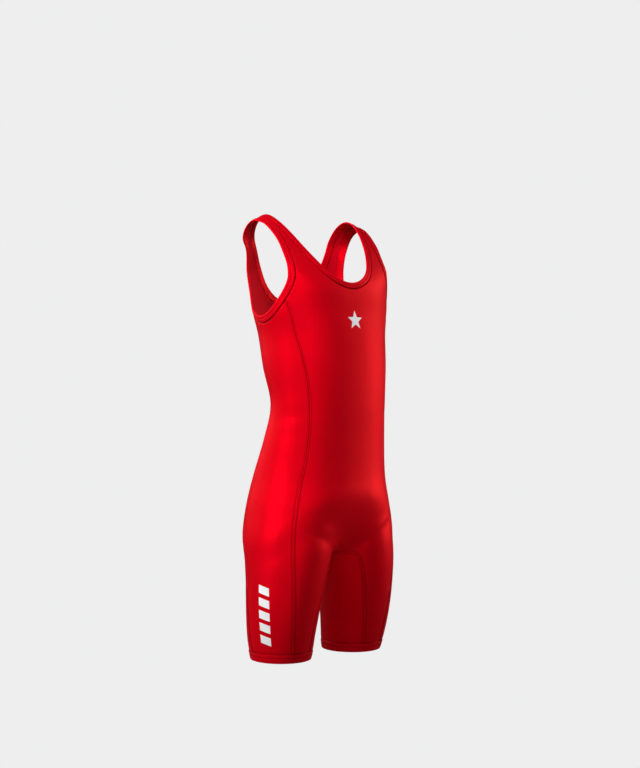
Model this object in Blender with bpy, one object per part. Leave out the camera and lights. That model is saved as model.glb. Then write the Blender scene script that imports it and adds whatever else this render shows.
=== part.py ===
"""A sleeveless wrestling singlet with short legs, hollow, in the shape that it takes when worn.

The cloth is laid on one smooth, plain form: a torso that closes under the seat, two legs and the ridge
of the shoulders. Every panel is a grid of points on that form, stretched between the curves where the
cloth is cut or sewn, and given the thickness of its cloth. The frame is +Z up with the wearer's front
towards -Y and the left side at +X. The origin is on top of the shoulder line, midway between the straps.
"""

import bpy
import numpy as np

MM = 0.001

# Cloth and sewing.
CLOTH = 1.5 * MM  # wall of the panels: one layer of dense, brushed-back knit
BAND_INSIDE = 0.5 * MM  # how far a folded band stands inside the panels' inner face
BAND_OUTSIDE = 2.1 * MM  # how far it stands outside that face
SEAM_GAP = 0.3 * MM  # between two pieces that are sewn together
NECK_BAND_WIDTH = 10 * MM
ARM_BAND_WIDTH = 12 * MM
LEG_BAND_WIDTH = 15 * MM

# The heights that the rest is hung from, down from the top of the shoulders.
HEM_HEIGHT = -723.5 * MM
LEG_SEAM_HEIGHT = HEM_HEIGHT + LEG_BAND_WIDTH
SIDE_SEAM_TOP = -143 * MM
BACK_SEAM_TOP = -150 * MM
SHOULDER_SEAM_DEPTH = 12 * MM

# The form: a round shoulder ridge, the saddle under the seat, and how softly its parts run together.
RIDGE_HEIGHT = 14.2 * MM  # on the middle plane, above the straps, whose bands top out at the origin's height
RIDGE_FALL_RADIUS = 252 * MM  # the ridge's line, seen from the front
RIDGE_DEPTH = 24.7 * MM  # on the middle plane, from where it comes forward towards the arms
RIDGE_SWEEP_RADIUS = 394 * MM  # the ridge's line, seen from above
RIDGE_FRONT_RADIUS = 38 * MM
RIDGE_FRONT_EASING = 0.226  # growth of that radius for each unit forwards
RIDGE_FRONT_TIGHTENING = 0.128  # and its loss for each unit outwards
RIDGE_BACK_RADIUS = 22 * MM
SADDLE_HEIGHT = -573 * MM
SADDLE_DEPTH = -8 * MM  # where the saddle is lowest, front to back
SADDLE_RADIUS = 62 * MM
SHOULDER_SOFTNESS = 14 * MM
SEAT_SOFTNESS = 46 * MM
LEG_SOFTNESS = 20 * MM
LEG_TOP = -440 * MM  # the legs' form ends here, inside the torso

# How many steps a panel has along each stretch of its edges, and across.
STRAP_STEPS = 13
BODY_STEPS = 17
GROIN_STEPS = 11
LEG_STEPS = 12
UNDERARM_STEPS = 9
PANEL_COLUMNS = 8
TOP_PULL_ROWS = 12
GUSSET_COLUMNS = 8
RIM_ORDER = (0, 0.5, 3)  # the end of a rim's edge where it is cut into triangles, alike on both sides of a seam
BEND_SHARE = 45 * MM  # length that one radian of bend counts for when an edge is shared out
DENSE = 480  # points of the fine curves that the seams are measured along
GROIN_MIDDLE_TOP = -455 * MM  # where the finer rows start on the middle line, and on a side seam
GROIN_SEAM_TOP = -425 * MM
GROIN_SEAM_END = -512 * MM


def table(columns, rows):
    """Rows of millimetres under named columns, as one array of metres for each name. Exponents stay plain."""
    values = np.array(rows, float).T
    return {
        name: line if name == "squareness" else line * MM
        for name, line in zip(columns.split(), values, strict=True)
    }


# Level sections of the torso. Squareness is their exponent, where 2 is an ellipse.
TORSO = table(
    "height half_width front back squareness",
    [
        (-620, 112, -84, 60, 2.25),
        (-575, 121, -98, 72, 2.25),
        (-530, 129, -109, 76, 2.25),
        (-487, 126, -112, 79, 2.25),
        (-430, 115, -108, 68, 2.25),
        (-370, 107, -109, 45, 2.25),
        (-312, 102, -112, 29, 2.25),
        (-250, 108, -112, 45, 2.25),
        (-190, 112, -108, 56, 2.3),
        (-160, 118.5, -104, 60, 2.35),
        (-125, 120, -99, 62, 2.6),
        (-90, 127.5, -90, 62, 2.6),
        (-55, 128.5, -78, 60, 2.6),
        (-20, 153, -82, 58, 2.6),
        (20, 138, -70, 56, 2.6),
    ],
)

# Level sections of one leg. Its upper rows lie inside the torso.
LEG = table(
    "height across depth half_width half_depth",
    [
        (-760, 76, -9, 43, 44.5),
        (-723, 77, -12, 47, 48.5),
        (-706, 78, -13.5, 50, 52.5),
        (-690, 79, -15, 52, 55),
        (-650, 79, -19, 56, 60.5),
        (-600, 75.5, -22, 60, 67.5),
        (-561, 71, -22, 63.5, 73),
        (-520, 64, -20, 63, 77),
        (-470, 54, -15, 52, 68),
        (-420, 50, -12, 44, 58),
    ],
)

# Cut edges and seams on the wearer's left side, as points near the form.
NECK_EDGE = table(
    "across depth height",
    [
        (0, -98, -112.5),
        (16, -96.5, -110),
        (30, -92.5, -103.5),
        (44, -85, -92),
        (56, -73, -75),
        (66, -58, -57),
        (74, -41, -38),
        (80, -27, -22),
        (85, -10, -8),
        (86.5, 12, -1),
        (85, 30, -7),
        (81, 45, -28),
        (74, 54, -56),
        (62, 60, -86),
        (45, 63, -115),
        (23, 65, -132),
        (0, 65, -137),
    ],
)
ARM_EDGE = table(
    "across depth height",
    [
        (118, 4, -13),
        (113.5, -9, -16),
        (110.5, -26, -30),
        (109, -43, -47),
        (108.5, -56, -67),
        (108.5, -66, -89),
        (109.5, -68, -108),
        (112, -60, -127),
        (116.5, -49, -144),
        (119, -34, -159),
        (119.5, -14, -167),
        (118.5, 8, -163),
        (114.5, 25, -147),
        (109, 35, -123),
        (106.5, 39, -94),
        (107.5, 38, -65),
        (111, 32, -39),
        (115.5, 20, -21),
    ],
)
FRONT_SEAM = table(
    "across depth height",
    [
        (103.5, -68.5, -165),
        (96.3, -73.5, -200),
        (89.5, -82, -235),
        (83.7, -87.4, -275),
        (82, -90, -335),
        (88, -89, -390),
        (100, -84, -450),
        (107, -82, -500),
        (108.5, -81, -550),
        (107, -82, -600),
        (103, -78, -650),
        (96, -67, -706),
    ],
)
BACK_SEAM = table(
    "across depth height",
    [
        (103, 30, -190),
        (96, 24, -240),
        (89, 17, -290),
        (87, 16, -335),
        (93, 25, -390),
        (106, 42, -450),
        (118, 49, -500),
        (126, 36, -550),
        (130, 14, -600),
        (132, 2, -650),
        (129, -1, -706),
    ],
)
GUSSET_FRONT = table(
    "across depth height",
    [
        (0, -63.5, -552.5),
        (11, -65, -553),
        (20, -70.5, -553),
        (27, -76.5, -554.5),
        (32, -80, -559.5),
        (36, -81, -569),
        (40.5, -81, -585),
        (47, -78, -618),
        (54.5, -71, -662),
        (60, -61, -706),
    ],
)
GUSSET_BACK = table(
    "across depth height",
    [
        (0, 42, -554),
        (12, 46, -555),
        (24, 50, -560),
        (34, 52, -570),
        (42, 51, -590),
        (49, 45, -625),
        (56, 40, -662),
        (60, 36, -706),
    ],
)

# The deepest creases of the worn cloth, on both sides alike: soft troughs where the leg meets the body.
FOLDS = table(
    "from_x from_y from_z to_x to_y to_z depth width",
    [
        (20, -78, -544, 104, -95, -501, 2.6, 11),
        (10, -74, -546, 30, -104, -514, 1.4, 9),
        (16, 62, -562, 96, 78, -520, 2.2, 12),
        (78, -92, -322, 98, -38, -334, 1.0, 12),
    ],
)

# Finishes: red, green, blue, roughness.
PANEL_FINISH = (0.62, 0.006, 0.016, 0.42)
SIDE_FINISH = (0.60, 0.006, 0.016, 0.42)
GUSSET_FINISH = (0.56, 0.006, 0.016, 0.46)
BAND_FINISH = (0.66, 0.008, 0.018, 0.40)


def through(knots, values, at):
    """A smooth curve through the rows of a table, read at given places."""
    slopes = np.gradient(values, knots, axis=0)
    at = np.clip(at, knots[0], knots[-1])
    low = np.clip(np.searchsorted(knots, at) - 1, 0, len(knots) - 2)
    span = knots[low + 1] - knots[low]
    t = (at - knots[low]) / span
    if values.ndim > 1:
        t, span = t[:, None], span[:, None]
    return (
        (2 * t**3 - 3 * t**2 + 1) * values[low]
        + (t**3 - 2 * t**2 + t) * span * slopes[low]
        + (3 * t**2 - 2 * t**3) * values[low + 1]
        + (t**3 - t**2) * span * slopes[low + 1]
    )


def soft_least(a, b, softness):
    """The smaller of two distances, rounded where they are nearly equal."""
    share = np.clip(0.5 + 0.5 * (b - a) / softness, 0, 1)
    return b * (1 - share) + a * share - softness * share * (1 - share)


def soft_most(a, b, softness):
    return -soft_least(-a, -b, softness)


def torso_form(x, y, z):
    knots = TORSO["height"]
    wide, front, back, power = (
        through(knots, TORSO[k], z) for k in ("half_width", "front", "back", "squareness")
    )
    deep = (back - front) / 2
    round_about = np.abs(x / wide) ** power + np.abs((y - (front + back) / 2) / deep) ** power
    return (round_about ** (1 / power) - 1) * np.sqrt(wide * deep)


def leg_form(x, y, z):
    knots = LEG["height"]
    across, depth, wide, deep = (
        through(knots, LEG[k], z) for k in ("across", "depth", "half_width", "half_depth")
    )
    return (np.hypot((x - across) / wide, (y - depth) / deep) - 1) * np.sqrt(wide * deep)


def ridge_height(x, y):
    """The height of the shoulders over a place: a ridge that bends down forwards, backwards and outwards."""
    behind = y - (RIDGE_DEPTH - x**2 / (2 * RIDGE_SWEEP_RADIUS))
    front = RIDGE_FRONT_RADIUS - RIDGE_FRONT_EASING * behind - RIDGE_FRONT_TIGHTENING * np.abs(x)
    radius = np.where(behind < 0, front, RIDGE_BACK_RADIUS)
    return RIDGE_HEIGHT - x**2 / (2 * RIDGE_FALL_RADIUS) - behind**2 / (2 * radius)


def form(points):
    """How far points are outside the form, about in metres, and less than 0 inside."""
    x, y, z = points.T
    saddle = SADDLE_HEIGHT + (y - SADDLE_DEPTH) ** 2 / (2 * SADDLE_RADIUS)
    torso = soft_most(torso_form(x, y, z), z - ridge_height(x, y), SHOULDER_SOFTNESS)
    torso = soft_most(torso, saddle - z, SEAT_SOFTNESS)
    legs = soft_least(leg_form(x, y, z), leg_form(-x, y, z), LEG_SOFTNESS)
    legs = soft_most(legs, z - LEG_TOP, LEG_SOFTNESS)
    return soft_least(torso, legs, LEG_SOFTNESS)


def outward(points):
    """The form's slope at each point, as a vector."""
    step = 0.2 * MM
    return np.stack(
        [(form(points + step * e) - form(points - step * e)) / (2 * step) for e in np.eye(3)], axis=1
    )


def normals(points):
    slope = outward(points)
    return slope / np.linalg.norm(slope, axis=1, keepdims=True)


def on_form(points, hold=None):
    """Points moved onto the form. One axis, 0 to 2, can be held, to stay in a level or upright plane."""
    points = np.array(points, float)
    for _ in range(12):
        slope = outward(points)
        if hold is not None:
            slope[:, hold] = 0
        move = slope * (form(points) / np.maximum((slope**2).sum(axis=1), 1e-6))[:, None]
        reach = np.linalg.norm(move, axis=1, keepdims=True)
        points -= move * np.minimum(1, 12 * MM / np.maximum(reach, 1e-9))
    return points


def points_of(rows):
    return np.stack([rows["across"], rows["depth"], rows["height"]], axis=1)


def lengths_along(points):
    return np.concatenate([[0], np.cumsum(np.linalg.norm(np.diff(points, axis=0), axis=1))])


def fine(points):
    """A fine curve on the form through a few points."""
    along = lengths_along(points)
    return on_form(through(along, points, np.linspace(0, along[-1], DENSE)))


def fine_ring(points):
    """The same for a closed curve. The first point isn't repeated at the end."""
    count = len(points)
    wrapped = np.concatenate([points[-3:], points, points[:4]])
    along = lengths_along(wrapped)
    at = np.linspace(along[3], along[3 + count], DENSE + 1)[:-1]
    return on_form(through(along, wrapped, at))


def shared_out(points, steps):
    """The curve again, as fewer points, closer together where the cloth bends."""
    facing = normals(points)
    turns = np.linalg.norm(np.diff(facing, axis=0), axis=1)
    along = lengths_along(points) + np.concatenate([[0], np.cumsum(turns)]) * BEND_SHARE
    at = np.linspace(0, along[-1], steps + 1)
    return np.stack([np.interp(at, along, points[:, k]) for k in range(3)], axis=1)


def shared_stretches(points, ends, steps):
    """The same for a curve in stretches. Each ends at a height, the last at the curve's end."""
    start, found = 0, [points[:1]]
    for end, count in zip(ends, steps, strict=True):
        stop = len(points) - 1 if end is None else nearest(points, lambda c, end=end: c[:, 2] - end)
        found.append(shared_out(points[start : stop + 1], count)[1:])
        start = stop
    return np.concatenate(found)


def beside(ring, width):
    """A closed curve on the form, moved along it to the right of its own direction."""
    ahead = np.roll(ring, -1, axis=0) - np.roll(ring, 1, axis=0)
    ahead /= np.linalg.norm(ahead, axis=1, keepdims=True)
    moved = ring
    for _ in range(4):
        moved = on_form(moved + np.cross(ahead, normals(moved)) * width / 4)
    return moved


def nearest(curve, test):
    return int(np.argmin(np.abs(test(curve))))


def panel_points(inner, outer, columns, top=None, top_hold=None):
    """A grid of points from one edge to the other, its last row level. The first row is a curve if top has
    one, which the next rows follow less and less, or it stays in a plane if an axis is held."""
    share = np.linspace(0, 1, columns + 1)[None, :, None]
    grid = inner[:, None] * (1 - share) + outer[:, None] * share
    if top is not None:
        pull = np.clip(1 - np.arange(len(grid)) / TOP_PULL_ROWS, 0, 1) ** 1.5
        grid += pull[:, None, None] * (top - grid[0])
    grid[1:-1] = on_form(grid[1:-1].reshape(-1, 3)).reshape(grid[1:-1].shape)
    grid[0], grid[-1] = on_form(grid[0], top_hold) if top is None else top, on_form(grid[-1], 2)
    grid[:, 0], grid[:, -1] = inner, outer
    return grid


def quads_of(rows, columns, closed=False):
    """Index quads of a grid that runs down its rows and out along its columns."""
    steps = rows if closed else rows - 1
    return [
        (i * columns + j, (i + 1) % rows * columns + j, (i + 1) % rows * columns + j + 1, i * columns + j + 1)
        for i in range(steps)
        for j in range(columns - 1)
    ]


def flipped(points):
    return points * np.array([-1, 1, 1])


def mirrored_pair(points, quads, welded):
    """A half and its mirror image, joined where points listed in welded lie on the middle plane."""
    points = points.copy()
    points[welded, 0] = 0
    twin = np.full(len(points), -1)
    twin[welded] = welded
    free = np.flatnonzero(twin < 0)
    twin[free] = len(points) + np.arange(len(free))
    both = np.concatenate([points, flipped(points[free])])
    return both, quads + [tuple(int(twin[i]) for i in quad[::-1]) for quad in quads]


def cut_across(quads, points):
    """Each four-sided face as two triangles, which meet on its shorter diagonal."""
    faces = []
    for a, b, c, d in quads:
        if np.linalg.norm(points[c] - points[a]) < np.linalg.norm(points[d] - points[b]):
            faces += [(a, b, c), (a, c, d)]
        else:
            faces += [(a, b, d), (b, c, d)]
    return faces


def border(quads):
    """The edges that only one face uses, each in the direction in which its face runs."""
    ends = {(quad[k], quad[(k + 1) % 4]) for quad in quads for k in range(4)}
    return [(a, b) for a, b in sorted(ends) if (b, a) not in ends]


def drawn_in(points, quads, facing, margin):
    """Points with the border moved inwards along the cloth by a margin, corners by both their edges."""
    inward = {}
    for a, b in border(quads):
        way = np.cross((facing[a] + facing[b]) / 2, points[b] - points[a])
        way /= np.linalg.norm(way)
        inward.setdefault(a, []).append(way)
        inward.setdefault(b, []).append(way)
    points = points.copy()
    for i, ways in inward.items():
        total = sum(ways)
        points[i] += total * margin * 2 / max(total @ total, 1.0)
    return points


def fold_depth(points):
    """How deep the creases press the cloth in at each point."""
    place = np.abs(points) * [1, 0, 0] + points * [0, 1, 1]
    total = np.zeros(len(points))
    for row in range(len(FOLDS["depth"])):
        start = np.array([FOLDS[f"from_{k}"][row] for k in "xyz"])
        way = np.array([FOLDS[f"to_{k}"][row] for k in "xyz"]) - start
        share = np.clip((place - start) @ way / (way @ way), 0, 1)
        away = np.linalg.norm(place - start - share[:, None] * way, axis=1)
        swell = np.sin(np.pi * (0.12 + 0.76 * share)) ** 1.5
        total += FOLDS["depth"][row] * swell * np.exp(-((away / FOLDS["width"][row]) ** 2))
    return total


def principled(name, finish):
    material = bpy.data.materials.new(name)
    material.use_nodes = True
    shader = material.node_tree.nodes["Principled BSDF"]
    shader.inputs["Base Color"].default_value = (*finish[:3], 1)
    shader.inputs["Roughness"].default_value = finish[3]
    shader.inputs["Metallic"].default_value = 0
    material.diffuse_color = (*finish[:3], 1)
    return material


def sewn_piece(name, points, quads, inside, outside, finish):
    """One closed solid of cloth: the points moved in and out along the form, and a rim round the border."""
    facing = normals(points)
    if np.cross(points[quads[0][1]] - points[quads[0][0]], points[quads[0][3]] - points[quads[0][0]]) @ (
        facing[quads[0][0]]
    ) < 0:
        quads = [quad[::-1] for quad in quads]
    points = drawn_in(points, quads, facing, SEAM_GAP / 2) - facing * fold_depth(points)[:, None]
    count = len(points)
    vertices = np.concatenate([points + facing * outside, points + facing * inside])
    faces = cut_across(quads, points)
    faces += [tuple(i + count for i in face[::-1]) for face in faces]
    rank = points @ RIM_ORDER + np.abs(points[:, 0])
    for a, b in border(quads):
        if rank[a] < rank[b]:
            faces += [(b, a, a + count), (b, a + count, b + count)]
        else:
            faces += [(b, a, b + count), (a, a + count, b + count)]
    mesh = bpy.data.meshes.new(name)
    mesh.from_pydata(vertices.tolist(), [], faces)
    mesh.update()
    mesh.shade_smooth()
    mesh.set_sharp_from_angle(angle=np.radians(50))
    mesh.materials.append(principled(name, finish))
    piece = bpy.data.objects.new(name, mesh)
    bpy.context.scene.collection.objects.link(piece)
    return piece


def pin(points, index, axis, place):
    """Puts one point of a curve in a plane, on the form."""
    points[index, axis] = place
    points[index] = on_form(points[index][None], axis)[0]


def seam_from(top, rows):
    """A body seam from a point on the arm band down to the leg band."""
    curve = fine(np.concatenate([top[None], points_of(rows)]))
    curve[0] = top
    pin(curve, -1, 2, LEG_SEAM_HEIGHT)
    return curve


def gusset_seam(rows):
    curve = fine(points_of(rows))
    pin(curve, 0, 0, 0)
    pin(curve, -1, 2, LEG_SEAM_HEIGHT)
    return curve


def centre_line(top, bottom):
    """The middle of a panel down the plane of symmetry."""
    share = np.linspace(0, 1, DENSE)[:, None]
    return on_form(top * (1 - share) + bottom * share, 0)


def ring_band(name, edge, seam, finish):
    """A folded band between a free edge and its seam, all the way round."""
    middle = on_form((edge + seam) / 2)
    points = np.stack([edge, middle, seam], axis=1).reshape(-1, 3)
    return sewn_piece(name, points, quads_of(len(edge), 3, closed=True), -BAND_INSIDE, BAND_OUTSIDE, finish)


def at_places(ring, picks, wanted):
    """Points of ring at the places where the fine curve picks comes nearest to wanted."""
    return np.array([ring[int(np.argmin(np.linalg.norm(picks - p, axis=1)))] for p in wanted])


def half_panel(strap_inner, strap_outer, middle, gusset, seam, name, finish):
    """A front or back: strap, body and leg strip, one half laid out and mirrored."""
    steps = [BODY_STEPS, GROIN_STEPS, LEG_STEPS]
    middle = shared_stretches(middle, [GROIN_MIDDLE_TOP, None], steps[:2])
    inner = np.concatenate([strap_inner, middle[1:], shared_out(gusset, LEG_STEPS)[1:]])
    seam = shared_stretches(seam, [GROIN_SEAM_TOP, GROIN_SEAM_END, None], steps)
    outer = np.concatenate([strap_outer, seam[1:]])
    grid = panel_points(inner, outer, PANEL_COLUMNS, top_hold=1)
    rows, columns = grid.shape[:2]
    on_middle = np.arange(STRAP_STEPS, STRAP_STEPS + len(middle)) * columns
    points, quads = mirrored_pair(grid.reshape(-1, 3), quads_of(rows, columns), on_middle)
    sewn_piece(name, points, quads, 0, CLOTH, finish)
    return outer[STRAP_STEPS:], grid


def main():
    for old in list(bpy.data.objects):
        bpy.data.objects.remove(old)

    # The neck: its free edge, and the seam a band's width away from it, from the middle of the front to the
    # middle of the back.
    half_neck = points_of(NECK_EDGE)
    neck_edge = fine_ring(np.concatenate([half_neck, flipped(half_neck[-2:0:-1])]))
    neck_seam = beside(neck_edge, NECK_BAND_WIDTH)
    half = DENSE // 2
    shoulder = nearest(neck_seam[:half], lambda c: c[:, 1] - SHOULDER_SEAM_DEPTH)
    strap_inner = shared_out(neck_seam[shoulder::-1], STRAP_STEPS)
    back_strap_inner = shared_out(neck_seam[shoulder : half + 1], STRAP_STEPS)

    # One arm hole, from the shoulder forwards, down, under the arm and up the back.
    arm_edge = fine_ring(points_of(ARM_EDGE))
    arm_seam = beside(arm_edge, ARM_BAND_WIDTH)
    arm_edge, arm_seam = (np.roll(ring, half // 2, axis=0) for ring in (arm_edge, arm_seam))
    shoulder = nearest(arm_seam[:half], lambda c: c[:, 1] - SHOULDER_SEAM_DEPTH)
    arm_edge, arm_seam = (np.roll(ring, -shoulder, axis=0) for ring in (arm_edge, arm_seam))
    front_top = nearest(arm_seam[:half], lambda c: c[:, 2] - SIDE_SEAM_TOP)
    back_top = half + nearest(arm_seam[half:], lambda c: c[:, 2] - BACK_SEAM_TOP)
    strap_outer = shared_out(arm_seam[: front_top + 1], STRAP_STEPS)
    under_arm = shared_out(arm_seam[front_top : back_top + 1], UNDERARM_STEPS)
    back_strap_outer = shared_out(np.concatenate([arm_seam[:1], arm_seam[:back_top:-1]]), STRAP_STEPS)
    back_strap_outer[-1] = under_arm[-1]

    for end in (strap_inner, strap_outer, back_strap_inner, back_strap_outer):
        pin(end, 0, 1, SHOULDER_SEAM_DEPTH)
    for end in (strap_inner, back_strap_inner):
        pin(end, -1, 0, 0)

    # The panels.
    gusset_front, gusset_back = gusset_seam(GUSSET_FRONT), gusset_seam(GUSSET_BACK)
    front_seam, front_grid = half_panel(
        strap_inner,
        strap_outer,
        centre_line(strap_inner[-1], gusset_front[0]),
        gusset_front,
        seam_from(strap_outer[-1], FRONT_SEAM),
        "front_panel",
        PANEL_FINISH,
    )
    back_seam, back_grid = half_panel(
        back_strap_inner,
        back_strap_outer,
        centre_line(back_strap_inner[-1], gusset_back[0]),
        gusset_back,
        seam_from(back_strap_outer[-1], BACK_SEAM),
        "back_panel",
        PANEL_FINISH,
    )

    side = panel_points(front_seam, back_seam, UNDERARM_STEPS, top=under_arm)
    gusset_edges = [shared_out(seam, LEG_STEPS) for seam in (gusset_front, gusset_back)]
    gusset = panel_points(*gusset_edges, GUSSET_COLUMNS, top_hold=0)
    points, quads = mirrored_pair(
        gusset.reshape(-1, 3), quads_of(*gusset.shape[:2]), np.arange(GUSSET_COLUMNS + 1)
    )
    sewn_piece("crotch_gusset", points, quads, 0, CLOTH, GUSSET_FINISH)

    # The bands, whose seams have the same points as the panels that they are sewn to.
    neck_half = np.concatenate([strap_inner[::-1], back_strap_inner[1:]])
    neck_ring = np.concatenate([neck_half, flipped(neck_half[-2:0:-1])])
    ring_band("neck_band", at_places(neck_edge, neck_seam, neck_ring), neck_ring, BAND_FINISH)

    arm_ring = np.concatenate([strap_outer, under_arm[1:], back_strap_outer[-2:0:-1]])
    arm_free = at_places(arm_edge, arm_seam, arm_ring)
    leg_ring = np.concatenate([front_grid[-1], side[-1][1:], back_grid[-1][-2::-1], gusset[-1][-2:0:-1]])
    leg_free = on_form(leg_ring - [0, 0, LEG_BAND_WIDTH], 2)
    for word, turned in (("left", lambda p: p), ("right", flipped)):
        sewn_piece(
            f"side_panel_{word}",
            turned(side.reshape(-1, 3)),
            quads_of(*side.shape[:2]),
            0,
            CLOTH,
            SIDE_FINISH,
        )
        ring_band(f"arm_band_{word}", turned(arm_free), turned(arm_ring), BAND_FINISH)
        ring_band(f"leg_band_{word}", turned(leg_free), turned(leg_ring), BAND_FINISH)


main()
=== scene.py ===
import math

import bpy
import numpy as np
from mathutils.kdtree import KDTree
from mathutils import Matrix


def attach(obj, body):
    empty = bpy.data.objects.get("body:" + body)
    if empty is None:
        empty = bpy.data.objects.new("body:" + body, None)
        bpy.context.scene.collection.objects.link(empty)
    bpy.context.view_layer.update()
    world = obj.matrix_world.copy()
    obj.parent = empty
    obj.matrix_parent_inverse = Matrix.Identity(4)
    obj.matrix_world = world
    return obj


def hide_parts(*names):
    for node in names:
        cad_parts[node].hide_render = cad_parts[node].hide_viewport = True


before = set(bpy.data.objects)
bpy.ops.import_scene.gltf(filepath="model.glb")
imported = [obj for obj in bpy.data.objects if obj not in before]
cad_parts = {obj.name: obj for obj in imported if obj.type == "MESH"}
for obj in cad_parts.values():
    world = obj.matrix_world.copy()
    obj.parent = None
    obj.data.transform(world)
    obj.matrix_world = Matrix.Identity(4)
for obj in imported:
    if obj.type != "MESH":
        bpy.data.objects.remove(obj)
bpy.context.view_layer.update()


# ---- Studio ----------------------------------------------------------------------------------------------
# A level camera at the wearer's front right, a pale floor that runs out into a background of the same tone,
# a key light high at the wearer's right, one at the chest, two that rim the far edge, one each for the near
# thigh, the legs from low in front and the back, and a weak fill.
MM = 0.001
CAMERA_TURN = math.radians(-41)  # round the garment from straight ahead, towards its right side
CAMERA_DISTANCE = 2400 * MM
CAMERA_HEIGHT = -277 * MM
CAMERA_ASIDE = 13.7 * MM
VIEW_HEIGHT = 1282.6 * MM  # how much of the garment's plane the picture's long side takes in
FLOOR_HEIGHT = -1120 * MM  # the soles of a wearer of this size
FLOOR_RADIUS = 60
PALE = (0.855, 0.855, 0.858, 1)
FILL = (0.60, 0.60, 0.64, 1)
FILL_STRENGTH = 0.13


def node(tree, kind, inputs=(), **settings):
    """A shader node with its settings, and its inputs set to values or joined to other nodes' outputs."""
    made = tree.nodes.new("ShaderNode" + kind)
    for name, value in settings.items():
        setattr(made, name, value)
    for socket, value in dict(inputs).items():
        if isinstance(value, bpy.types.NodeSocket):
            tree.links.new(value, made.inputs[socket])
        else:
            made.inputs[socket].default_value = value
    return made


def shown_only_to_camera(tree, dim):
    """A plain pale light that the camera sees. Everything else gets the dim light instead."""
    ray = node(tree, "LightPath").outputs["Is Camera Ray"]
    pale = node(tree, "Background" if dim else "Emission", {"Color": PALE})
    other = node(tree, "Background" if dim else "BsdfDiffuse", {"Color": FILL})
    if dim:
        other.inputs["Strength"].default_value = FILL_STRENGTH
    return node(tree, "MixShader", {0: ray, 1: other.outputs[0], 2: pale.outputs[0]}).outputs[0]


def shone_at(name, turn, height, distance, aim, size, energy, spread=180):
    """A rectangular soft light round the garment, facing a height on its axis."""
    light = bpy.data.objects.new(name, bpy.data.lights.new(name, "AREA"))
    light.data.shape = "RECTANGLE"
    light.data.size, light.data.size_y = size
    light.data.energy = energy
    light.data.spread = math.radians(spread)
    turn = math.radians(turn)
    light.location = (math.sin(turn) * distance, -math.cos(turn) * distance, height)
    tilt = math.atan2(height - aim, distance)
    light.rotation_euler = (math.pi / 2 - tilt, 0, turn)
    bpy.context.scene.collection.objects.link(light)


scene = bpy.context.scene
scene.view_settings.view_transform = "Standard"
camera = bpy.data.objects.new("camera", bpy.data.cameras.new("camera"))
camera.data.lens = camera.data.sensor_width * CAMERA_DISTANCE / VIEW_HEIGHT
camera.location = (
    math.sin(CAMERA_TURN) * CAMERA_DISTANCE + math.cos(CAMERA_TURN) * CAMERA_ASIDE,
    -math.cos(CAMERA_TURN) * CAMERA_DISTANCE + math.sin(CAMERA_TURN) * CAMERA_ASIDE,
    CAMERA_HEIGHT,
)
camera.rotation_euler = (math.pi / 2, 0, CAMERA_TURN)
scene.collection.objects.link(camera)
scene.camera = camera

scene.world = bpy.data.worlds.new("studio")
scene.world.use_nodes = True
sky = scene.world.node_tree
sky.links.new(shown_only_to_camera(sky, dim=True), sky.nodes["World Output"].inputs["Surface"])

bpy.ops.mesh.primitive_circle_add(
    vertices=96, radius=FLOOR_RADIUS, fill_type="NGON", location=(0, 0, FLOOR_HEIGHT)
)
floor = bpy.context.object
floor.name = "floor"
paint = bpy.data.materials.new("floor")
paint.use_nodes = True
tree = paint.node_tree
tree.links.new(shown_only_to_camera(tree, dim=False), tree.nodes["Material Output"].inputs["Surface"])
floor.data.materials.append(paint)

shone_at("key_light", -95, 1.1, 1.9, 0.0, (0.7, 0.8), 3.8, 38)
shone_at("chest_light", -30, 0.7, 1.9, -0.10, (0.9, 0.9), 1.5, 36)
shone_at("thigh_light", -98, -0.3, 1.6, -0.64, (0.5, 0.6), 0.34, 18)
shone_at("rim_light", 75, 0.3, 1.6, -0.25, (0.5, 0.6), 0.38, 24)
shone_at("hip_light", 68, -0.35, 1.6, -0.46, (0.3, 0.5), 0.20, 20)
shone_at("low_light", -35, -1.0, 1.7, -0.54, (0.9, 0.5), 0.20, 34)
shone_at("back_light", 195, 0.45, 2.0, -0.35, (1.2, 1.2), 15)


# ---- Front panel -----------------------------------------------------------------------------------------
# The front is one piece of smooth satin stretch knit from the neck to both leg hems, with the front halves
# of the straps. It is cut on the fold and lies on the form of a plain figure, which all pieces share.
CLOTH = 1.5 * MM
NECK_BAND_WIDTH = 10 * MM
ARM_BAND_WIDTH = 12 * MM
LEG_BAND_WIDTH = 15 * MM
HEM_HEIGHT = -723.5 * MM
LEG_SEAM_HEIGHT = HEM_HEIGHT + LEG_BAND_WIDTH
HEM_ACROSS = 77 * MM  # the middle of the leg there, and a circle round it that is moved onto the form
HEM_DEPTH = -12 * MM
HEM_REACH = 60 * MM
SIDE_SEAM_TOP = -143 * MM
BACK_SEAM_TOP = -150 * MM
SHOULDER_SEAM_DEPTH = 12 * MM

RIDGE_HEIGHT = 14.2 * MM
RIDGE_FALL_RADIUS = 252 * MM
RIDGE_DEPTH = 24.7 * MM
RIDGE_SWEEP_RADIUS = 394 * MM
RIDGE_FRONT_RADIUS = 38 * MM
RIDGE_FRONT_EASING = 0.226
RIDGE_FRONT_TIGHTENING = 0.128
RIDGE_BACK_RADIUS = 22 * MM
SADDLE_HEIGHT = -573 * MM
SADDLE_DEPTH = -8 * MM
SADDLE_RADIUS = 62 * MM
SHOULDER_SOFTNESS = 14 * MM
SEAT_SOFTNESS = 46 * MM
LEG_SOFTNESS = 20 * MM
LEG_TOP = -440 * MM
BEND_SHARE = 45 * MM  # length that one radian of bend counts for when an edge is shared out

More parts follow.
